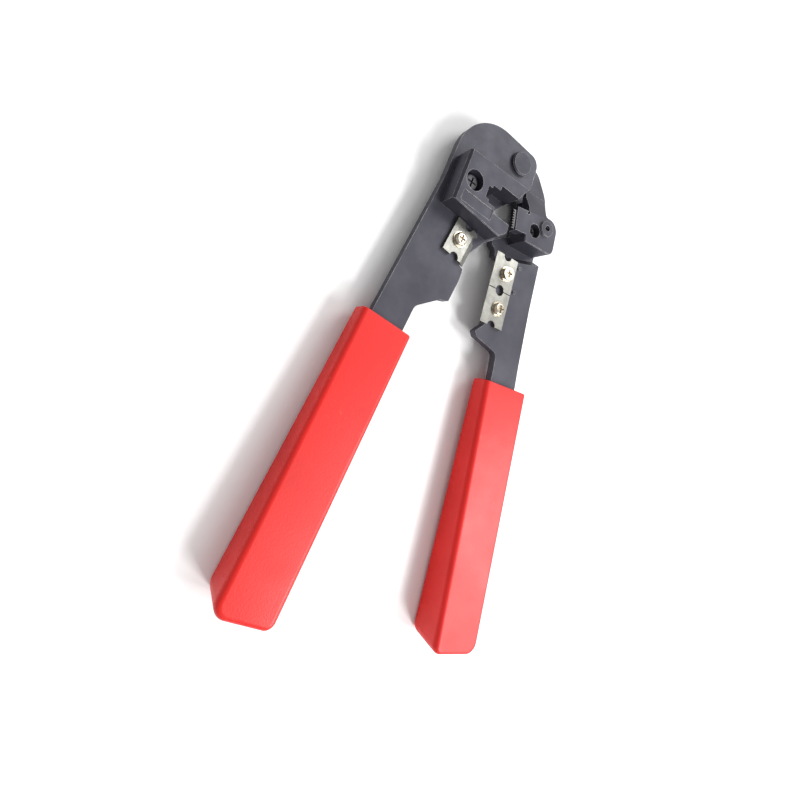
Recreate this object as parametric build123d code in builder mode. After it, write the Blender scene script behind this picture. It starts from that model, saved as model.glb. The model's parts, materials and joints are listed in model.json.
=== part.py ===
"""Modular-plug crimping tool: a die nest and a punch on two pivoting steel arms, with
stripping and cutting blades below them and a moulded sleeve on each handle.

Millimetres, +Z up. The tool lies on its back. The origin is on the resting plane, under
the centre of the tool's bounding box; the pivot axis is parallel to Z. The arm on the
left is fixed, the arm on the right turns, and it is drawn in its open, resting pose.
"""

from math import cos, radians, sin
import os

from build123d import *

os.makedirs("parts", exist_ok=True)

# --- driving dimensions -------------------------------------------------------------
PIVOT_X = 2.757  # pivot axis, measured from the centre of the bounding box
PIVOT_Y = 86.938
MID_Z = 6.545  # middle of the fixed arm's plate above the resting plane
OPEN_ANGLE = 13.0  # degrees from closed to the resting, open pose

PLATE = 3.0  # thickness of both arm plates
ARM_FRONT = PLATE / 2  # front face of the fixed arm, measured from MID_Z
RAISED = 0.3  # how far the moving arm's lower part stands in front of the fixed arm
SUNK = -3.3  # middle of the moving arm's upper part, which runs behind the head
JOGGLE_LOW = -41.6  # where the moving arm starts to bend backwards
JOGGLE_HIGH = -39.0  # where it is flat again, behind the head
JOGGLE_SLANT = 8.9  # degrees, the bend rises towards the outer edge

RIVET_HEAD_R = 5.1
RIVET_SHANK_R = 3.0
RUNNING = 0.05  # radial clearance of the moving arm on the rivet
SNUG = 0.02  # radial clearance between parts of one body

DIE_FRONT = 8.5  # front face of the die block, measured from MID_Z
PUNCH_FRONT = 6.5  # front face of the punch block
NEST_Y = -26.6  # centre line of the plug nest below the pivot
NEST_STEPS = ((-10.6, 6.1), (-14.4, 3.8), (-16.2, 2.5))  # left end and half width
NEST_ROUND = 0.3

BLADE_W = 11.6
BLADE_L = 14.5
BLADE_T = 1.2
BLADE_NOTCH_R = 2.0
BLADE_SCREW_OFFSET = 1.2  # screw centre, from the middle towards the back edge
BLADE_SCREW_R = 1.5
BLADE_TILT = 8.4  # degrees, the cutting edges lean inwards towards the handles

TEETH = 8
TEETH_PITCH = 1.02

DIE_SCREW = (-22.8, -26.2)
DIE_SCREW_R = 2.0
DIE_DOWELS = ((-25.4, -18.6), (-3.2, -17.2))
DOWEL_R = 1.25
PUNCH_SCREW = (7.3, -28.0)
PUNCH_SCREW_R = 1.5
BOSS = (13.4, -25.3)
BOSS_R = 3.5
BOSS_HEIGHT = 0.8
PUNCH_DOWELS = ((9.0, -17.8), (15.6, -31.6))

SLEEVE_TOP_T = 7.8  # sleeve thickness at the head end
SLEEVE_END_T = 13.2  # sleeve thickness at the handle's end
SLEEVE_TANG_GAP = 0.03


def fixed_plane(height):
    """Plane of the fixed arm, centred on the pivot, height above the arm's middle."""
    return Plane(origin=(PIVOT_X, PIVOT_Y, MID_Z + height))


def moving_plane(height):
    """Plane of the moving arm: the closed arm's axes, turned out by the open angle."""
    turn = radians(OPEN_ANGLE)
    return Plane(
        origin=(PIVOT_X, PIVOT_Y, MID_Z + height),
        x_dir=(cos(turn), sin(turn), 0),
        z_dir=(0, 0, 1),
    )


def side_plane(slant=0.0):
    """Plane along the moving arm, its axes towards the pivot and up, turned by the slant."""
    base = moving_plane(0)
    turn = radians(slant)
    along = base.y_dir * cos(turn) - base.x_dir * sin(turn)
    return Plane(origin=base.origin, x_dir=along, z_dir=along.cross(base.z_dir))


def across_nose():
    """Plane square to the moving arm at the nest's centre line, its axes across and up."""
    base = moving_plane(0)
    origin = base.origin + base.y_dir * NEST_Y
    return Plane(origin=origin, x_dir=base.x_dir, z_dir=-base.y_dir)


def blade_screw(center, back):
    """Screw position of a blade, moved from its centre towards its back edge (-1 or 1)."""
    shift = back * BLADE_SCREW_OFFSET
    tilt = radians(BLADE_TILT)
    return (center[0] + shift * cos(tilt), center[1] - shift * sin(tilt))


def outline(corners):
    """Closed line through (x, y, corner radius) triples."""
    return FilletPolyline(
        *[(x, y) for x, y, _ in corners],
        radius=[radius for _, _, radius in corners],
        close=True,
    )


def finish(piece, name):
    """Label a finished piece and write its STEP file."""
    piece.part.label = name
    export_step(piece.part, f"parts/{name}.step")


# --- handle tangs, shared by the plates and the sleeves ------------------------------
FIXED_TANG = ((-38.9, -88.0), (-47.3, -173.0), (-36.3, -173.0), (-25.2, -90.0))
MOVING_TANG = ((12.75, -91.0), (1.2, -176.0), (-9.5, -176.0), (-0.55, -90.5))


# --- fixed arm ----------------------------------------------------------------------
FIXED_OUTLINE = (
    (*FIXED_TANG[1], 2.0),
    (*FIXED_TANG[0], 0.0),
    (-31.2, -27.0, 0.0),
    (-30.2, 8.8, 20.0),  # round shoulder of the head
    (9.0, 7.9, 4.6),  # corner beside the pivot
    (9.3, -6.5, 1.2),
    (2.7, -13.6, 0.0),
    (-0.8, -20.5, 0.0),
    (-1.4, -20.5, 0.4),  # window behind the nest
    (-9.2, -32.7, 0.8),
    (-0.6, -32.7, 0.5),
    (-0.4, -36.6, 1.5),  # tip of the lower jaw
    (-4.7, -40.4, 6.0),
    (-9.4, -47.6, 1.0),
    (-12.2, -48.6, 0.8),
    (-13.4, -53.4, 0.8),
    (-9.8, -55.0, 1.2),
    (-9.7, -59.4, 0.0),  # anvil edge for the cutter
    (-11.1, -69.0, 0.7),
    (-14.6, -70.0, 1.0),
    (-23.8, -77.0, 3.5),
    (*FIXED_TANG[3], 0.0),
    (*FIXED_TANG[2], 2.0),
)
FIXED_BLADE = (-15.3, -46.2)
FIXED_BLADE_SCREW = blade_screw(FIXED_BLADE, -1)

with BuildPart() as fixed_arm_plate:
    with BuildSketch(fixed_plane(-PLATE / 2)):
        with BuildLine():
            outline(FIXED_OUTLINE)
        make_face()
    extrude(amount=PLATE)
    with Locations(fixed_plane(ARM_FRONT)):
        with Locations((0, 0)):
            Hole(RIVET_SHANK_R + SNUG)
        with Locations(DIE_SCREW):
            Hole(DIE_SCREW_R + SNUG)
        with Locations(*DIE_DOWELS):
            Hole(DOWEL_R + SNUG)
        with Locations(FIXED_BLADE_SCREW):
            Hole(BLADE_SCREW_R + SNUG)
finish(fixed_arm_plate, "fixed_arm_plate")


# --- moving arm ---------------------------------------------------------------------
MOVING_OUTLINE = (
    (*MOVING_TANG[1], 2.0),
    (*MOVING_TANG[2], 2.0),
    (*MOVING_TANG[3], 0.0),
    (0.1, -84.4, 0.0),
    (0.1, -79.5, 2.5),
    (-10.8, -74.9, 0.8),  # underside and tip of the hook
    (-11.9, -72.8, 0.8),
    (-7.7, -69.5, 0.5),
    (-3.6, -41.4, 1.0),
    (-3.9, -37.4, 2.0),
    (-7.4, -34.4, 1.5),  # ear behind the lower jaw
    (-1.0, -31.6, 2.0),
    (4.9, -28.9, 2.5),
    (4.9, -14.0, 5.0),
    (-6.6, -6.0, 4.0),
    (-6.6, 6.6, 6.4),
    (7.4, 6.6, 6.0),
    (15.2, 2.4, 8.0),  # shoulder
    (20.9, -6.2, 14.0),
    (23.3, -15.5, 12.0),
    (18.2, -36.3, 20.0),
    (15.4, -58.6, 0.0),
    (13.3, -82.0, 0.0),
    (*MOVING_TANG[0], 0.0),
)
LOW_BACK = RAISED - PLATE / 2
LOW_FRONT = RAISED + PLATE / 2
SUNK_BACK = SUNK - PLATE / 2
SUNK_FRONT = SUNK + PLATE / 2
ARM_END = -190.0
ARM_TOP = 20.0
JOGGLE_PROFILE = (
    (ARM_END, LOW_BACK),
    (JOGGLE_LOW, LOW_BACK),
    (JOGGLE_HIGH, SUNK_BACK),
    (ARM_TOP, SUNK_BACK),
    (ARM_TOP, SUNK_FRONT),
    (JOGGLE_HIGH, SUNK_FRONT),
    (JOGGLE_LOW, LOW_FRONT),
    (ARM_END, LOW_FRONT),
)
UPPER_BLADE = (-2.45, -47.75)
LOWER_BLADE = (-4.6, -62.45)
MOVING_BLADE_SCREWS = (blade_screw(UPPER_BLADE, 1), blade_screw(LOWER_BLADE, 1))
STAKES = ((6.6, -43.4), (5.2, -53.8))
STAKE_R = 0.7
STAKE_HEIGHT = 0.5


with BuildPart() as moving_arm_plate:
    with BuildSketch(moving_plane(SUNK_BACK - 1)):
        with BuildLine():
            outline(MOVING_OUTLINE)
        make_face()
    extrude(amount=10)
    with BuildSketch(side_plane(JOGGLE_SLANT)):
        with BuildLine():
            Polyline(*JOGGLE_PROFILE, close=True)
        make_face()
    extrude(amount=40, both=True, mode=Mode.INTERSECT)
    with Locations(moving_plane(LOW_FRONT)):
        with Locations((0, 0)):
            Hole(RIVET_SHANK_R + RUNNING)
        with Locations(PUNCH_SCREW):
            Hole(PUNCH_SCREW_R + SNUG)
        with Locations(*PUNCH_DOWELS, BOSS):
            Hole(DOWEL_R + SNUG)
        with Locations(*MOVING_BLADE_SCREWS):
            Hole(BLADE_SCREW_R + SNUG)
    with BuildSketch(moving_plane(LOW_FRONT)):
        with Locations(*STAKES):
            Circle(STAKE_R)
    extrude(amount=STAKE_HEIGHT)
finish(moving_arm_plate, "moving_arm_plate")


# --- handle sleeves -----------------------------------------------------------------
FIXED_SLEEVE_TOP = ((-21.8, -88.1), (-42.9, -86.1))  # inner and outer corner
FIXED_SLEEVE_END = ((-32.6, -182.5), (-52.0, -180.7))
MOVING_SLEEVE_TOP = ((15.8, -88.9), (38.0, -86.9))
MOVING_SLEEVE_END = ((27.3, -182.5), (46.5, -180.7))
SLEEVE_INNER_ROUND = 3.2  # end corners in plan
SLEEVE_OUTER_ROUND = 4.5
SLEEVE_EDGE_ROUND = 2.0
SLEEVE_MOUTH_ROUND = 0.6


def midpoint(inner, outer):
    """Point midway between two points in plan."""
    return (Vector(*inner) + Vector(*outer)) * 0.5


def sleeve(top, end, tang, tang_plane):
    """One sleeve: a tapered block with soft edges and a closed end, open over the tang."""
    start = midpoint(*top)
    along = midpoint(*end) - start
    taper = (SLEEVE_END_T - SLEEVE_TOP_T) / 2
    corners = (
        (*top[0], 0.0),
        (*top[1], 0.0),
        (*end[1], SLEEVE_OUTER_ROUND),
        (*end[0], SLEEVE_INNER_ROUND),
    )
    with BuildPart() as body:
        with BuildSketch(fixed_plane(-SLEEVE_END_T)):
            with BuildLine():
                outline(corners)
            make_face()
        extrude(amount=2 * SLEEVE_END_T)
        side = Plane(
            origin=fixed_plane(0).from_local_coords(start),
            x_dir=along,
            z_dir=along.cross(Vector(0, 0, 1)),
        )
        with BuildSketch(side):
            with BuildLine():
                Polyline(
                    (-along.length, SLEEVE_TOP_T / 2 - taper),
                    (2 * along.length, SLEEVE_TOP_T / 2 + 2 * taper),
                    (2 * along.length, -SLEEVE_TOP_T / 2 - 2 * taper),
                    (-along.length, -SLEEVE_TOP_T / 2 + taper),
                    close=True,
                )
            make_face()
        extrude(amount=40, both=True, mode=Mode.INTERSECT)
        mouth_face = body.faces().sort_by(Axis.Y)[-1]
        body_edges = body.edges().filter_by(Axis.Z, reverse=True) - mouth_face.edges()
        fillet(body_edges, SLEEVE_EDGE_ROUND)
        mouth_face = body.faces().sort_by(Axis.Y)[-1]
        fillet(mouth_face.edges(), SLEEVE_MOUTH_ROUND)
        with BuildSketch(tang_plane):
            with BuildLine():
                Polyline(*tang, close=True)
            make_face()
            offset(amount=SLEEVE_TANG_GAP, kind=Kind.INTERSECTION)
        extrude(amount=PLATE / 2 + SLEEVE_TANG_GAP, both=True, mode=Mode.SUBTRACT)
    return body


def long_tang(tang):
    """The tang's outline carried on up through the sleeve's open end."""
    reach = 0.08
    lifts = [Vector(*tang[0]) - Vector(*tang[1]), Vector(*tang[3]) - Vector(*tang[2])]
    outer = Vector(*tang[0]) + lifts[0] * reach
    inner = Vector(*tang[3]) + lifts[1] * reach
    return ((outer.X, outer.Y), tang[1], tang[2], (inner.X, inner.Y))


fixed_sleeve = sleeve(FIXED_SLEEVE_TOP, FIXED_SLEEVE_END, long_tang(FIXED_TANG), fixed_plane(0))
finish(fixed_sleeve, "fixed_handle_sleeve")
moving_sleeve = sleeve(
    MOVING_SLEEVE_TOP, MOVING_SLEEVE_END, long_tang(MOVING_TANG), moving_plane(RAISED)
)
finish(moving_sleeve, "moving_handle_sleeve")


# --- die block ----------------------------------------------------------------------
def nest_corners():
    """Corners of the stepped nest, from its mouth's upper edge round to its lower one."""
    upper = []
    half_before = NEST_STEPS[0][1]
    for left, half in NEST_STEPS:
        if half != half_before:
            upper.append((upper[-1][0], NEST_Y + half, NEST_ROUND))
            half_before = half
        upper.append((left, NEST_Y + half, NEST_ROUND))
    lower = [(x, 2 * NEST_Y - y, radius) for x, y, radius in reversed(upper)]
    return upper + lower


NEST_HALF = NEST_STEPS[0][1]
DIE_OUTLINE = (
    (-28.9, -37.1, 0.0),
    (-28.6, -15.7, 0.0),
    (2.5, -13.8, 0.0),
    (-1.0, NEST_Y + NEST_HALF, 0.0),
    (-1.6, NEST_Y - NEST_HALF, 0.0),
    (-1.3, -36.0, 2.2),
    (-4.6, -39.2, 1.2),
)
NEST_MOUTH = ((5.0, NEST_Y - NEST_HALF, 0.0), (5.0, NEST_Y + NEST_HALF, 0.0))
LABEL_BAND = (-18.4, -34.0, 15.0, 4.4)  # centre, length and height of the blank panel
LABEL_DEPTH = 0.2
SCREW_SINK = 1.8  # head below the block's front face
SCREW_HEAD_T = 2.4
LOCK_WASHER_T = 0.5
COUNTERBORE_R = 4.0
COUNTERBORE_DEPTH = SCREW_SINK + SCREW_HEAD_T + LOCK_WASHER_T
DOWEL_DEPTH = 4.0

with BuildPart() as die_block:
    with BuildSketch(fixed_plane(ARM_FRONT)):
        with BuildLine():
            outline(DIE_OUTLINE)
        make_face()
    extrude(amount=DIE_FRONT - ARM_FRONT)
    front_edges = die_block.faces().sort_by(Axis.Z)[-1].edges()
    left_edge = front_edges.sort_by(Axis.X)[0]
    chamfer(left_edge, 1.0)
    front_edges = die_block.faces().sort_by(Axis.Z)[-1].edges()
    chamfer(front_edges - front_edges.sort_by(Axis.X)[:1], 0.3)
    with BuildSketch(fixed_plane(ARM_FRONT)):
        with BuildLine():
            outline((*nest_corners(), *NEST_MOUTH))
        make_face()
    extrude(amount=DIE_FRONT, mode=Mode.SUBTRACT)
    with Locations(fixed_plane(DIE_FRONT)):
        with Locations(DIE_SCREW):
            CounterBoreHole(DIE_SCREW_R + SNUG, COUNTERBORE_R, COUNTERBORE_DEPTH)
    with BuildSketch(fixed_plane(DIE_FRONT - LABEL_DEPTH)):
        with Locations(LABEL_BAND[:2]):
            RectangleRounded(*LABEL_BAND[2:], 0.5)
    extrude(amount=1, mode=Mode.SUBTRACT)
    with BuildSketch(fixed_plane(ARM_FRONT)):
        with Locations(*DIE_DOWELS):
            Circle(DOWEL_R + SNUG)
    extrude(amount=DOWEL_DEPTH + SNUG, mode=Mode.SUBTRACT)
finish(die_block, "die_block")


# --- punch block on the moving arm --------------------------------------------------
PUNCH_BACK = SUNK_FRONT
NOSE_BACK = 3.4  # the nose runs in front of the fixed arm
NOSE_FACE = -3.3
NOSE_TOP = -21.2
NOSE_BOTTOM = -30.7
FOLD_X = 2.5  # line where the nose meets the body
PUNCH_OUTLINE = (
    (FOLD_X, -33.7, 0.3),
    (FOLD_X, -21.8, 0.3),
    (5.4, -14.3, 0.4),
    (14.8, -12.9, 0.8),
    (13.6, -20.2, 1.2),
    (20.6, -20.4, 5.2),  # round corner about the boss
    (19.0, -35.5, 3.0),
)
WEDGE_BACK = 1.85  # the foot of the slope runs in front of the fixed arm
WEDGE_OUTLINE = (
    (4.0, -19.5, 0.0),
    (3.4, -14.0, 0.0),
    (4.6, -9.6, 0.6),
    (15.3, -11.6, 0.8),
    (12.6, -19.5, 0.0),
)
SLOPE = (
    (-21.2, PUNCH_FRONT),
    (-9.6, WEDGE_BACK + 0.3),
    (-5.0, WEDGE_BACK + 0.3),
    (-5.0, PUNCH_FRONT + 1),
    (-21.2, PUNCH_FRONT + 1),
)
BOSS_FRONT = PUNCH_FRONT + BOSS_HEIGHT
INDEX_NOTCH = ((1.6, -22.4), (3.6, -22.1), (3.0, -20.9))
NOTCH_DEPTH = 1.0

TEETH_TIP = -5.1
TEETH_ROOT = -4.4
COMB_BACK = -3.7
TOOTH_W = 0.5
COMB_Z = 4.9  # back face of the comb
COMB_T = 1.2
COMB_LENGTH = 7.8
SHANK_LENGTH = 6.0
SHANK_END = -0.6
PRESSER_TIP = -4.0
PRESSER_LENGTH = 7.0
PRESSER_Z = 3.7
PRESSER_T = 0.8
CROSS_PIN = (-2.0, COMB_Z + COMB_T / 2)
CROSS_PIN_R = 0.35
CROSS_PIN_LENGTH = 7.2
PUNCH_COUNTERBORE_R = 2.9


def insert_sketch(left, right, length):
    """Rectangle of an insert in the nose, between two x values, centred on the nest."""
    with Locations(((left + right) / 2, NEST_Y)):
        Rectangle(right - left, length)


with BuildPart() as punch_block:
    with BuildSketch(moving_plane(PUNCH_BACK)):
        with BuildLine():
            outline(PUNCH_OUTLINE)
        make_face()
    extrude(amount=PUNCH_FRONT - PUNCH_BACK)
    front_edges = punch_block.faces().sort_by(Axis.Z)[-1].edges()
    chamfer(front_edges, 0.3)
    with BuildSketch(moving_plane(WEDGE_BACK)):
        with BuildLine():
            outline(WEDGE_OUTLINE)
        make_face()
    extrude(amount=PUNCH_FRONT - WEDGE_BACK)
    with BuildSketch(side_plane()):
        with BuildLine():
            Polyline(*SLOPE, close=True)
        make_face()
    extrude(amount=40, both=True, mode=Mode.SUBTRACT)
    with BuildSketch(moving_plane(NOSE_BACK)):
        with BuildLine():
            Polyline(
                (NOSE_FACE, NOSE_TOP),
                (NOSE_FACE, NOSE_BOTTOM),
                (FOLD_X + 1, NOSE_BOTTOM),
                (FOLD_X + 1, NOSE_TOP),
                close=True,
            )
        make_face()
    extrude(amount=PUNCH_FRONT - NOSE_BACK)
    with BuildSketch(moving_plane(PUNCH_FRONT)):
        with Locations(BOSS):
            Circle(BOSS_R)
    extrude(amount=BOSS_HEIGHT)
    boss_rim = punch_block.faces().sort_by(Axis.Z)[-1].edges()
    chamfer(boss_rim, 0.3)
    with Locations(moving_plane(BOSS_FRONT)):
        with Locations(BOSS):
            Hole(DOWEL_R + SNUG)
    with Locations(moving_plane(PUNCH_FRONT)):
        with Locations(PUNCH_SCREW):
            CounterBoreHole(PUNCH_SCREW_R + SNUG, PUNCH_COUNTERBORE_R, COUNTERBORE_DEPTH)
    with BuildSketch(moving_plane(PUNCH_BACK)):
        with Locations(*PUNCH_DOWELS):
            Circle(DOWEL_R + SNUG)
    extrude(amount=DOWEL_DEPTH + SNUG, mode=Mode.SUBTRACT)
    with BuildSketch(moving_plane(PUNCH_FRONT)):
        with BuildLine():
            Polyline(*INDEX_NOTCH, close=True)
        make_face()
    extrude(amount=-NOTCH_DEPTH, mode=Mode.SUBTRACT)
    with BuildSketch(moving_plane(COMB_Z - SNUG)):
        insert_sketch(NOSE_FACE - 1, SHANK_END, SHANK_LENGTH + 2 * SNUG)
    extrude(amount=COMB_T + 2 * SNUG, mode=Mode.SUBTRACT)
    with BuildSketch(moving_plane(PRESSER_Z - SNUG)):
        insert_sketch(NOSE_FACE - 1, SHANK_END, PRESSER_LENGTH + 2 * SNUG)
    extrude(amount=PRESSER_T + 2 * SNUG, mode=Mode.SUBTRACT)
    with BuildSketch(across_nose()):
        with Locations(CROSS_PIN):
            Circle(CROSS_PIN_R + SNUG)
    extrude(amount=CROSS_PIN_LENGTH / 2 + SNUG, both=True, mode=Mode.SUBTRACT)
finish(punch_block, "punch_block")


# --- contact comb and strain-relief presser, both set into the nose -----------------
with BuildPart() as contact_teeth:
    with BuildSketch(moving_plane(COMB_Z)):
        insert_sketch(TEETH_ROOT, COMB_BACK, COMB_LENGTH)
        insert_sketch(COMB_BACK, SHANK_END - SNUG, SHANK_LENGTH)
        with Locations(((TEETH_TIP + TEETH_ROOT) / 2, NEST_Y)):
            with GridLocations(0, TEETH_PITCH, 1, TEETH):
                Rectangle(TEETH_ROOT - TEETH_TIP, TOOTH_W)
    extrude(amount=COMB_T)
    with BuildSketch(across_nose()):
        with Locations(CROSS_PIN):
            Circle(CROSS_PIN_R + SNUG)
    extrude(amount=COMB_LENGTH, both=True, mode=Mode.SUBTRACT)
finish(contact_teeth, "contact_teeth")

with BuildPart() as teeth_cross_pin:
    with BuildSketch(across_nose()):
        with Locations(CROSS_PIN):
            Circle(CROSS_PIN_R)
    extrude(amount=CROSS_PIN_LENGTH / 2, both=True)
finish(teeth_cross_pin, "teeth_cross_pin")

with BuildPart() as strain_relief_presser:
    with BuildSketch(moving_plane(PRESSER_Z)):
        insert_sketch(PRESSER_TIP, SHANK_END - SNUG, PRESSER_LENGTH)
    extrude(amount=PRESSER_T)
    tip_edges = strain_relief_presser.edges().filter_by(Axis.Z, reverse=True)
    fillet(tip_edges.sort_by(Axis.X)[:1], 0.4)
finish(strain_relief_presser, "strain_relief_presser")


# --- blades -------------------------------------------------------------------------
BEVEL_W = 2.3
BEVEL_EDGE_T = 0.25  # thickness left at the cutting edge
STRIP_NOTCH_R = 1.7
STRIP_NOTCH_Y = 4.4


def blade_plane(base, center):
    """Plane of a blade lying on the fixed arm: cutting edge towards +X, tip towards +Y."""
    tilt = radians(BLADE_TILT)
    x_dir = base.x_dir * cos(tilt) - base.y_dir * sin(tilt)
    return Plane(origin=base.from_local_coords(center), x_dir=x_dir, z_dir=(0, 0, 1))


def turned_over(plane, thickness):
    """The same place for a blade turned over about its long axis, on the other arm."""
    origin = plane.origin + Vector(0, 0, thickness)
    return Plane(origin=origin, x_dir=plane.x_dir * -1, z_dir=(0, 0, -1))


def blade(plane, strip_notch=False):
    """Flat blade, notched at both ends, with one bevelled edge and one screw hole."""
    with BuildPart() as body:
        with BuildSketch(plane):
            Rectangle(BLADE_W, BLADE_L)
            with GridLocations(0, BLADE_L, 1, 2):
                Circle(BLADE_NOTCH_R, mode=Mode.SUBTRACT)
            with Locations((-BLADE_SCREW_OFFSET, 0)):
                Circle(BLADE_SCREW_R + SNUG, mode=Mode.SUBTRACT)
            if strip_notch:
                with Locations((BLADE_W / 2, STRIP_NOTCH_Y)):
                    Circle(STRIP_NOTCH_R, mode=Mode.SUBTRACT)
        extrude(amount=BLADE_T)
        with BuildSketch(Plane(origin=plane.origin, x_dir=plane.x_dir, z_dir=-plane.y_dir)):
            with BuildLine():
                Polyline(
                    (BLADE_W / 2 - BEVEL_W, BLADE_T),
                    (BLADE_W / 2, BEVEL_EDGE_T),
                    (BLADE_W, BEVEL_EDGE_T),
                    (BLADE_W, 2 * BLADE_T),
                    (BLADE_W / 2 - BEVEL_W, 2 * BLADE_T),
                    close=True,
                )
            make_face()
        extrude(amount=BLADE_L, both=True, mode=Mode.SUBTRACT)
    return body


fixed_seat = blade_plane(fixed_plane(ARM_FRONT), FIXED_BLADE)
upper_seat = blade_plane(moving_plane(LOW_FRONT), UPPER_BLADE)
lower_seat = blade_plane(moving_plane(LOW_FRONT), LOWER_BLADE)
finish(blade(fixed_seat, strip_notch=True), "fixed_blade")
finish(blade(turned_over(upper_seat, BLADE_T)), "stripping_blade")
finish(blade(turned_over(lower_seat, BLADE_T)), "cutting_blade")


# --- screws and washers -------------------------------------------------------------
PAN_HEAD_R = 2.6
PAN_HEAD_T = 1.25
PAN_ROUND = 0.9
CROSS_W = 0.75
CROSS_TAPER = 12
BLADE_WASHER_R = 3.1
BLADE_WASHER_T = 0.35
SINK_HEAD_R = 3.3


def screw(plane, centers, head_r, head_t, round_r, shank_r, shank_l):
    """Cross-slotted screws, each with its head standing on the plane."""
    with BuildPart() as body:
        with BuildSketch(plane):
            with Locations(*centers):
                Circle(head_r)
        extrude(amount=head_t)
        fillet(body.faces().sort_by(Axis.Z)[-1].edges(), round_r)
        with BuildSketch(plane):
            with Locations(*centers):
                Circle(shank_r)
        extrude(amount=-shank_l)
        with BuildSketch(plane.offset(head_t)):
            with Locations(*centers):
                Rectangle(1.2 * head_r, CROSS_W)
                Rectangle(CROSS_W, 1.2 * head_r)
        extrude(amount=-0.6 * head_t, taper=CROSS_TAPER, mode=Mode.SUBTRACT)
    return body


def washer(plane, centers, outer_r, inner_r, thickness):
    """Flat washers lying on the plane."""
    with BuildPart() as body:
        with BuildSketch(plane):
            with Locations(*centers):
                Circle(outer_r)
                Circle(inner_r, mode=Mode.SUBTRACT)
        extrude(amount=thickness)
    return body


LOCK_WASHER_R = 3.6
PUNCH_HEAD_R = 2.5
PUNCH_WASHER_R = 2.75
DIE_FLOOR = DIE_FRONT - COUNTERBORE_DEPTH
PUNCH_FLOOR = PUNCH_FRONT - COUNTERBORE_DEPTH
SINK_ROUND = 0.9
BLADE_FRONT = ARM_FRONT + BLADE_T

die_washer = washer(
    fixed_plane(DIE_FLOOR), [DIE_SCREW], LOCK_WASHER_R, DIE_SCREW_R + SNUG, LOCK_WASHER_T
)
finish(die_washer, "die_lock_washer")
die_screw = screw(
    fixed_plane(DIE_FLOOR + LOCK_WASHER_T), [DIE_SCREW], SINK_HEAD_R, SCREW_HEAD_T, SINK_ROUND,
    DIE_SCREW_R, DIE_FLOOR + LOCK_WASHER_T + ARM_FRONT,
)
finish(die_screw, "die_screw")
punch_washer = washer(
    moving_plane(PUNCH_FLOOR), [PUNCH_SCREW],
    PUNCH_WASHER_R, PUNCH_SCREW_R + SNUG, LOCK_WASHER_T,
)
finish(punch_washer, "punch_lock_washer")
punch_screw = screw(
    moving_plane(PUNCH_FLOOR + LOCK_WASHER_T), [PUNCH_SCREW],
    PUNCH_HEAD_R, SCREW_HEAD_T, SINK_ROUND,
    PUNCH_SCREW_R, PUNCH_FLOOR + LOCK_WASHER_T - SUNK_BACK,
)
finish(punch_screw, "punch_screw")

fixed_blade_washer = washer(
    fixed_plane(BLADE_FRONT), [FIXED_BLADE_SCREW],
    BLADE_WASHER_R, BLADE_SCREW_R + SNUG, BLADE_WASHER_T,
)
finish(fixed_blade_washer, "fixed_blade_washer")
fixed_blade_screw = screw(
    fixed_plane(BLADE_FRONT + BLADE_WASHER_T), [FIXED_BLADE_SCREW],
    PAN_HEAD_R, PAN_HEAD_T, PAN_ROUND, BLADE_SCREW_R, BLADE_WASHER_T + BLADE_T + PLATE,
)
finish(fixed_blade_screw, "fixed_blade_screw")
moving_blade_washers = washer(
    moving_plane(BLADE_FRONT + RAISED), MOVING_BLADE_SCREWS,
    BLADE_WASHER_R, BLADE_SCREW_R + SNUG, BLADE_WASHER_T,
)
finish(moving_blade_washers, "moving_blade_washers")
moving_blade_screws = screw(
    moving_plane(BLADE_FRONT + RAISED + BLADE_WASHER_T), MOVING_BLADE_SCREWS,
    PAN_HEAD_R, PAN_HEAD_T, PAN_ROUND, BLADE_SCREW_R, BLADE_WASHER_T + BLADE_T + PLATE,
)
finish(moving_blade_screws, "moving_blade_screws")


# --- dowels and the spring pin ------------------------------------------------------
SPRING_PIN_BORE_R = 0.75
SPRING_PIN_SLOT = 0.4
SPRING_PIN_SINK = 0.5


def dowels(plane, centers, length):
    """Plain locating pins standing on the plane."""
    with BuildPart() as body:
        with BuildSketch(plane):
            with Locations(*centers):
                Circle(DOWEL_R)
        extrude(amount=length)
    return body


die_dowels = dowels(fixed_plane(-ARM_FRONT), DIE_DOWELS, PLATE + DOWEL_DEPTH)
finish(die_dowels, "die_dowels")
punch_dowels = dowels(moving_plane(SUNK_BACK), PUNCH_DOWELS, PLATE + DOWEL_DEPTH)
finish(punch_dowels, "punch_dowels")

with BuildPart() as punch_spring_pin:
    with BuildSketch(moving_plane(SUNK_BACK)):
        with Locations(BOSS):
            Circle(DOWEL_R)
            Circle(SPRING_PIN_BORE_R, mode=Mode.SUBTRACT)
            with Locations((DOWEL_R, 0)):
                Rectangle(2 * DOWEL_R, SPRING_PIN_SLOT, mode=Mode.SUBTRACT)
    extrude(amount=BOSS_FRONT - SPRING_PIN_SINK - SUNK_BACK)
finish(punch_spring_pin, "punch_spring_pin")


# --- pivot: rivet, rear washer and the spacer between the arms ----------------------
RIVET_HEAD_T = 1.5
RIVET_BEVEL = 0.5
REAR_HEAD_R = 4.4
REAR_HEAD_T = 0.8
PIVOT_WASHER_R = 5.6
PIVOT_WASHER_T = 0.7
SPACER_R = 6.2
SPACER_T = -ARM_FRONT - SUNK_FRONT - RUNNING
WASHER_BACK = SUNK_BACK - RUNNING - PIVOT_WASHER_T

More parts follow.
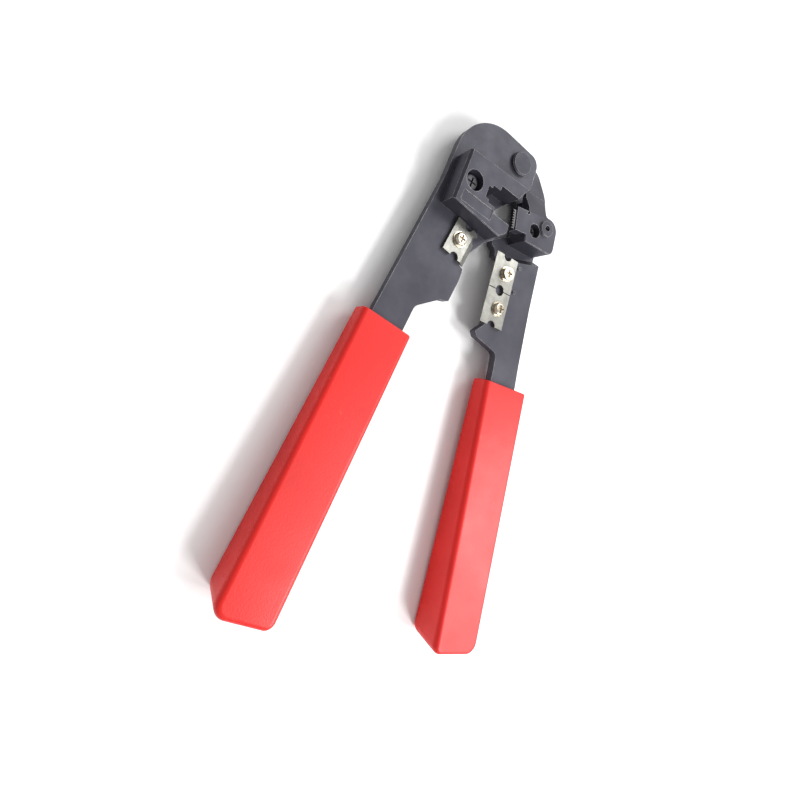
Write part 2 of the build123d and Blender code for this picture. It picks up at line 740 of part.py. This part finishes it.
with BuildPart() as pivot_rivet:
    with BuildSketch(fixed_plane(ARM_FRONT)):
        Circle(RIVET_HEAD_R)
    extrude(amount=RIVET_HEAD_T)
    chamfer(pivot_rivet.faces().sort_by(Axis.Z)[-1].edges(), RIVET_BEVEL)
    with BuildSketch(fixed_plane(ARM_FRONT)):
        Circle(RIVET_SHANK_R)
    extrude(amount=WASHER_BACK - ARM_FRONT)
    with BuildSketch(fixed_plane(WASHER_BACK)):
        Circle(REAR_HEAD_R)
    extrude(amount=-REAR_HEAD_T)
    fillet(pivot_rivet.faces().sort_by(Axis.Z)[0].edges(), RIVET_BEVEL)
finish(pivot_rivet, "pivot_rivet")

pivot_washer = washer(
    fixed_plane(WASHER_BACK), [(0, 0)], PIVOT_WASHER_R, RIVET_SHANK_R + SNUG, PIVOT_WASHER_T
)
finish(pivot_washer, "pivot_washer")
pivot_spacer = washer(
    fixed_plane(-ARM_FRONT - SPACER_T), [(0, 0)], SPACER_R, RIVET_SHANK_R + SNUG, SPACER_T
)
finish(pivot_spacer, "pivot_spacer")
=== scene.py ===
"""Looks for the modular-plug crimping tool: materials, the sleeves' vinyl among them, light and camera.
"""

import json

import bpy
from math import radians
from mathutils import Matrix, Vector


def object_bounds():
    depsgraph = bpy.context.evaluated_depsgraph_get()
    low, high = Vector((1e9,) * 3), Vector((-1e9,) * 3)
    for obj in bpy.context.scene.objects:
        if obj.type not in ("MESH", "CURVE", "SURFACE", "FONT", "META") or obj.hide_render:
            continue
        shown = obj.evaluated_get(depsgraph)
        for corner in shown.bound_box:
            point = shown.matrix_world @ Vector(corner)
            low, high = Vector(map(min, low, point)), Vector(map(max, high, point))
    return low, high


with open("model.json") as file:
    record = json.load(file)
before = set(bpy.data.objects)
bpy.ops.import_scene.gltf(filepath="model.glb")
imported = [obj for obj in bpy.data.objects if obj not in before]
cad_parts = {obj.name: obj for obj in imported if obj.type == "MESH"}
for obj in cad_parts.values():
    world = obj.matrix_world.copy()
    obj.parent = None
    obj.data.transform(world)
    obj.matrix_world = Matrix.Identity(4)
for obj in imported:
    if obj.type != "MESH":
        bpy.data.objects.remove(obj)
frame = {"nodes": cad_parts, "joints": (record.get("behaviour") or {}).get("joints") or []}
cad_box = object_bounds()
nodes = frame["nodes"]
pivot = Vector(frame["joints"][0]["pos_m"])

MM = 0.001

# Edge wear and painted edge highlight: cosine between the rounded and the true normal at a worn,
# lightened spot and at a clean spot.
WORN_GLINT_DOT = 0.86
CLEAN_DOT = 0.985
BEVEL_SAMPLES = 4

# Sockets of the Mix node that hold its colours.
MIX_FIRST, MIX_LAST, MIX_RESULT = 6, 7, 2


# --- node helpers ---------------------------------------------------------------------
def new_material(name):
    """New node material and its shader."""
    mat = bpy.data.materials.new(name)
    mat.use_nodes = True
    shader = mat.node_tree.nodes["Principled BSDF"]
    return mat, shader


def add(mat, kind, **inputs):
    """Add a shader node and set its inputs by name."""
    node = mat.node_tree.nodes.new(kind)
    for key, value in inputs.items():
        node.inputs[key.replace("_", " ")].default_value = value
    return node


def link(mat, source, target):
    """Join an output socket to an input socket."""
    mat.node_tree.links.new(source, target)


def coordinates(mat, scale=(1, 1, 1), turn=0.0):
    """Object coordinates, stretched and turned about Z."""
    coords = mat.node_tree.nodes.new("ShaderNodeTexCoord")
    mapping = mat.node_tree.nodes.new("ShaderNodeMapping")
    mapping.inputs["Rotation"].default_value = (0, 0, turn)
    mapping.inputs["Scale"].default_value = scale
    link(mat, coords.outputs["Object"], mapping.inputs["Vector"])
    return mapping.outputs["Vector"]


def noise(mat, vector, scale, detail=3.0, rough=0.55):
    """Noise with about scale features per metre."""
    node = add(mat, "ShaderNodeTexNoise", Scale=scale, Detail=detail, Roughness=rough)
    link(mat, vector, node.inputs["Vector"])
    return node.outputs["Fac"]


def ramp(mat, fac, low, high, first, last):
    """Value or colour that runs from first to last as fac goes from low to high."""
    node = mat.node_tree.nodes.new("ShaderNodeValToRGB")
    node.color_ramp.elements[0].position = low
    node.color_ramp.elements[1].position = high
    for element, value in zip(node.color_ramp.elements, (first, last)):
        element.color = (value, value, value, 1) if isinstance(value, float) else (*value, 1)
    link(mat, fac, node.inputs["Fac"])
    return node.outputs["Color"]


def mix(mat, fac, first, last):
    """Colour mixed from first to last by fac."""
    node = mat.node_tree.nodes.new("ShaderNodeMix")
    node.data_type = "RGBA"
    link(mat, fac, node.inputs["Factor"])
    for socket, value in ((node.inputs[MIX_FIRST], first), (node.inputs[MIX_LAST], last)):
        if isinstance(value, tuple):
            socket.default_value = (*value, 1)
        else:
            link(mat, value, socket)
    return node.outputs[MIX_RESULT]


def bumps(mat, shader, layers):
    """Stack (height, strength, distance) bump layers into the shader's normal."""
    normal = None
    for height, strength, distance in layers:
        bump = add(mat, "ShaderNodeBump", Strength=strength, Distance=distance)
        link(mat, height, bump.inputs["Height"])
        if normal is not None:
            link(mat, normal, bump.inputs["Normal"])
        normal = bump.outputs["Normal"]
    link(mat, normal, shader.inputs["Normal"])


def edge_mask(mat, radius):
    """1 on the object's outer edges and 0 on its faces."""
    bevel = mat.node_tree.nodes.new("ShaderNodeBevel")
    bevel.samples = BEVEL_SAMPLES
    bevel.inputs["Radius"].default_value = radius
    geometry = mat.node_tree.nodes.new("ShaderNodeNewGeometry")
    dot = mat.node_tree.nodes.new("ShaderNodeVectorMath")
    dot.operation = "DOT_PRODUCT"
    link(mat, bevel.outputs["Normal"], dot.inputs[0])
    link(mat, geometry.outputs["Normal"], dot.inputs[1])
    return ramp(mat, dot.outputs["Value"], WORN_GLINT_DOT, CLEAN_DOT, 1.0, 0.0)


# --- materials --------------------------------------------------------------------------
BLACK = (0.04, 0.039, 0.052)
# Darker, bluer copy of the arm black for the blocks and rivet: painted shade standing in for their dim
# walls and recesses.
BLOCK_SHADED_BLACK = (0.033, 0.032, 0.045)
FASTENER_BLACK = (0.03, 0.03, 0.036)
# Edge grey of the arms and blocks: rubbed wear, made bright enough to be a painted highlight along the
# chamfers.
WORN_AND_GLINT = (0.5, 0.49, 0.48)
FASTENER_WORN = (0.16, 0.16, 0.165)
RED = (0.70, 0.013, 0.009)
DEEP_RED = (0.60, 0.009, 0.006)
SCUFFED_RED = (0.86, 0.12, 0.09)
BLADE_GRIND = radians(8)


def black_oxide(name, base, worn_and_glint, edge_radius):
    """Matt blackened steel: mottled, finely blasted, rubbed lighter on its edges; a bright edge colour
    also paints a highlight there.
    """
    mat, shader = new_material(name)
    place = coordinates(mat)
    cloud = noise(mat, place, 90, 4)
    grain = noise(mat, place, 2600, 2)
    colour = mix(mat, ramp(mat, cloud, 0.35, 0.7, 0.0, 1.0), base, tuple(c * 1.35 for c in base))
    # Edges lightened towards the edge colour: wear, plus a painted highlight where that colour is
    # bright.
    rub_and_glint = mat.node_tree.nodes.new("ShaderNodeMath")
    rub_and_glint.operation = "MULTIPLY"
    link(mat, edge_mask(mat, edge_radius), rub_and_glint.inputs[0])
    link(mat, ramp(mat, noise(mat, place, 320, 4), 0.35, 0.6, 0.2, 1.0), rub_and_glint.inputs[1])
    link(mat, mix(mat, rub_and_glint.outputs[0], colour, worn_and_glint), shader.inputs["Base Color"])
    link(mat, ramp(mat, cloud, 0.3, 0.7, 0.62, 0.48), shader.inputs["Roughness"])
    shader.inputs["Metallic"].default_value = 0.35
    bumps(mat, shader, [(grain, 0.35, 0.02 * MM), (cloud, 0.2, 0.05 * MM)])
    return mat


def ground_steel(name, base, dark, turn, rough=(0.34, 0.5)):
    """Satin steel with fine grinding lines along one direction and faint handling marks."""
    mat, shader = new_material(name)
    lines = noise(mat, coordinates(mat, (1, 0.02, 0.2), turn), 9000, 2)
    cloud = noise(mat, coordinates(mat), 260, 4)
    colour = mix(mat, ramp(mat, cloud, 0.35, 0.75, 0.0, 1.0), base, dark)
    link(mat, mix(mat, ramp(mat, lines, 0.3, 0.75, 0.0, 0.5), colour, dark), shader.inputs["Base Color"])
    link(mat, ramp(mat, lines, 0.25, 0.75, rough[0], rough[1]), shader.inputs["Roughness"])
    shader.inputs["Metallic"].default_value = 1.0
    bumps(mat, shader, [(lines, 0.25, 0.01 * MM), (cloud, 0.1, 0.03 * MM)])
    return mat


def plated(name, base, stain):
    """Bright nickel plate with a warm, slightly uneven film."""
    mat, shader = new_material(name)
    place = coordinates(mat)
    cloud = noise(mat, place, 900, 4)
    fine = noise(mat, place, 5200, 2)
    link(mat, mix(mat, ramp(mat, cloud, 0.4, 0.72, 0.0, 1.0), base, stain), shader.inputs["Base Color"])
    link(mat, ramp(mat, fine, 0.3, 0.7, 0.18, 0.34), shader.inputs["Roughness"])
    shader.inputs["Metallic"].default_value = 1.0
    bumps(mat, shader, [(cloud, 0.15, 0.03 * MM)])
    return mat


def sleeve_vinyl(name):
    """Red dipped vinyl: very fine grain, soft waviness, uneven gloss and small scuffs."""
    mat, shader = new_material(name)
    place = coordinates(mat)
    cloud = noise(mat, place, 55, 4)
    grain = add(mat, "ShaderNodeTexVoronoi", Scale=2000.0, Randomness=1.0)
    link(mat, place, grain.inputs["Vector"])
    fine = noise(mat, place, 4200, 2)
    streaks = noise(mat, coordinates(mat, (1, 0.35, 1), 0.1), 420, 5, 0.7)
    scuff = ramp(mat, streaks, 0.66, 0.74, 0.0, 0.35)
    body = mix(mat, ramp(mat, cloud, 0.35, 0.7, 0.0, 1.0), RED, DEEP_RED)
    link(mat, mix(mat, scuff, body, SCUFFED_RED), shader.inputs["Base Color"])
    link(mat, ramp(mat, cloud, 0.3, 0.7, 0.40, 0.5), shader.inputs["Roughness"])
    shader.inputs["Subsurface Weight"].default_value = 0.08
    shader.inputs["Subsurface Radius"].default_value = (1.5 * MM, 0.3 * MM, 0.2 * MM)
    shader.inputs["Subsurface Scale"].default_value = 1.0
    shader.inputs["Specular IOR Level"].default_value = 0.38
    pores = grain.outputs["Distance"]
    bumps(mat, shader, [(pores, 0.32, 0.06 * MM), (fine, 0.3, 0.03 * MM), (cloud, 0.3, 0.3 * MM)])
    return mat


arm_black = black_oxide("arm_black_oxide", BLACK, WORN_AND_GLINT, 0.25 * MM)
# Blocks and rivet in the darker black: painted shade.
block_shaded_black = black_oxide("block_oxide_with_painted_shade", BLOCK_SHADED_BLACK, WORN_AND_GLINT, 0.3 * MM)
fastener_black = black_oxide("fastener_black_oxide", FASTENER_BLACK, FASTENER_WORN, 0.15 * MM)
blade_steel = ground_steel("blade_ground_steel", (0.36, 0.355, 0.325), (0.19, 0.187, 0.17), BLADE_GRIND)
pin_steel = ground_steel("pin_ground_steel", (0.6, 0.6, 0.6), (0.42, 0.42, 0.42), 0)
tool_steel = ground_steel("comb_tool_steel", (0.1, 0.095, 0.1), (0.045, 0.045, 0.05), 0)
nickel = plated("nickel_plate", (0.6, 0.55, 0.46), (0.34, 0.27, 0.18))
vinyl = sleeve_vinyl("red_vinyl")

FINISHES = {
    arm_black: ["fixed_arm_plate", "moving_arm_plate"],
    block_shaded_black: ["die_block", "punch_block", "pivot_rivet"],
    fastener_black: [
        "die_screw", "die_lock_washer", "punch_screw", "punch_lock_washer",
        "punch_spring_pin", "pivot_washer",
    ],
    pin_steel: ["die_dowels", "punch_dowels", "teeth_cross_pin", "pivot_spacer"],
    tool_steel: ["contact_teeth", "strain_relief_presser"],
    blade_steel: ["fixed_blade", "stripping_blade", "cutting_blade"],
    nickel: [
        "fixed_blade_screw", "fixed_blade_washer", "moving_blade_screws", "moving_blade_washers",
    ],
    vinyl: ["fixed_handle_sleeve", "moving_handle_sleeve"],
}
for finish, names in FINISHES.items():
    for name in names:
        slots = nodes[name].data.materials
        for index in range(len(slots)):
            slots[index] = finish


# --- floor, light and camera -------------------------------------------------------------
FLOOR_SIZE = 4.0
FLOOR_GAP = 0.05 * MM

# The camera as fitted to the photo: place from the pivot, turn and lens.
CAMERA_OFFSET = Vector((-90.83, -116.69, 108.945)) * MM
CAMERA_TURN = (radians(1.945), radians(-24.207), radians(24.389))
CAMERA_LENS = 16.63
CAMERA_SHIFT = (0.0759, -0.1033)
SENSOR_WIDTH = 36
CLIP_START = 0.005

WORLD_STRENGTH = 0.55


def floor():
    """Matt white paper just below the tool."""
    bpy.ops.mesh.primitive_plane_add(size=FLOOR_SIZE, location=(0, 0, cad_box[0].z - FLOOR_GAP))
    sheet = bpy.context.object
    sheet.name = "studio_floor"
    mat, shader = new_material("studio_paper")
    place = coordinates(mat)
    shade = mix(mat, noise(mat, place, 300, 3), (0.93, 0.93, 0.93), (0.96, 0.96, 0.96))
    link(mat, shade, shader.inputs["Base Color"])
    shader.inputs["Roughness"].default_value = 0.9
    shader.inputs["Specular IOR Level"].default_value = 0.1
    sheet.data.materials.append(mat)


def softbox(name, location, target, size, power):
    """Square area light at location, facing target."""
    data = bpy.data.lights.new(name, "AREA")
    data.size = size
    data.energy = power
    lamp = bpy.data.objects.new(name, data)
    bpy.context.scene.collection.objects.link(lamp)
    lamp.location = location
    lamp.rotation_euler = (Vector(target) - Vector(location)).to_track_quat("-Z", "Y").to_euler()


def camera():
    """Camera from which the tool is seen as in the photo."""
    data = bpy.data.cameras.new("photo_camera")
    data.lens = CAMERA_LENS
    data.sensor_width = SENSOR_WIDTH
    data.shift_x, data.shift_y = CAMERA_SHIFT
    data.clip_start = CLIP_START
    view = bpy.data.objects.new("photo_camera", data)
    bpy.context.scene.collection.objects.link(view)
    view.location = pivot + CAMERA_OFFSET
    view.rotation_euler = CAMERA_TURN
    bpy.context.scene.camera = view


floor()
softbox("key", (0.46, -0.08, 0.40), (0.03, -0.04, 0), 0.25, 2.6)
softbox("top", (0.28, 0.42, 0.42), (0, 0.05, 0), 0.35, 2.0)
softbox("rim", (0.27, -0.30, 0.33), (0, 0.02, 0), 0.12, 1.5)
world = bpy.data.worlds.new("studio")
world.use_nodes = True
world.node_tree.nodes["Background"].inputs["Color"].default_value = (1, 1, 1, 1)
world.node_tree.nodes["Background"].inputs["Strength"].default_value = WORLD_STRENGTH
bpy.context.scene.world = world
bpy.context.scene.view_settings.view_transform = "Standard"
camera()
